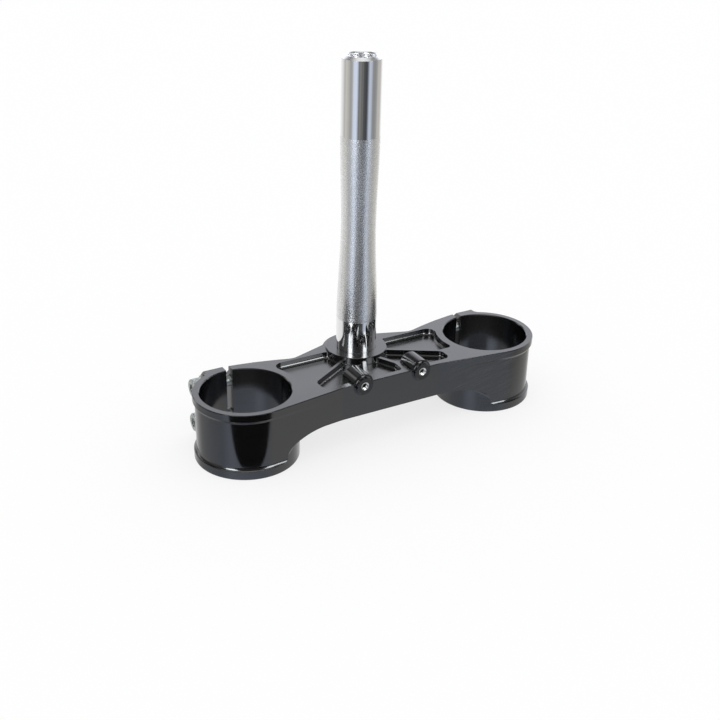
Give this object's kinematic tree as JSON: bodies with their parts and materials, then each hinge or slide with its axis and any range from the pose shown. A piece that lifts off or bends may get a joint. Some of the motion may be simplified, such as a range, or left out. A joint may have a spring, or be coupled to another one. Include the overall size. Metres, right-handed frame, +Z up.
{
  "type": "motorcycle triple clamp",
  "caption": "Black machined lower triple clamp with a split ring at each end for a fork leg, pinch bolts, front pegs and a bright hollow steering stem.",
  "frame": {"origin": "on the steering axis at the seat of the lower bearing, the top of the boss round the stem", "axes": "+Z up the stem, +X to the right-hand fork as the picture shows it, +Y to the rear, where the pinch slots are"},
  "size_m": [0.26, 0.0805, 0.2489],
  "materials": {
    "black_anodised": "machined and black anodised, satin",
    "turned_aluminium": "turned, polished at the bearing seats",
    "zinc_steel": "bright zinc plated",
    "insert_steel": "bright wound thread insert"
  },
  "bodies": {
    "root": {"lower_clamp": "black_anodised", "steering_stem": "turned_aluminium", "pinch_bolt_left_upper": "zinc_steel", "pinch_washer_left_upper": "zinc_steel", "pinch_bolt_left_lower": "zinc_steel", "pinch_washer_left_lower": "zinc_steel", "peg_insert_left": "insert_steel", "pinch_bolt_right_upper": "zinc_steel", "pinch_washer_right_upper": "zinc_steel", "pinch_bolt_right_lower": "zinc_steel", "pinch_washer_right_lower": "zinc_steel", "peg_insert_right": "insert_steel"}
  },
  "joints": []
}
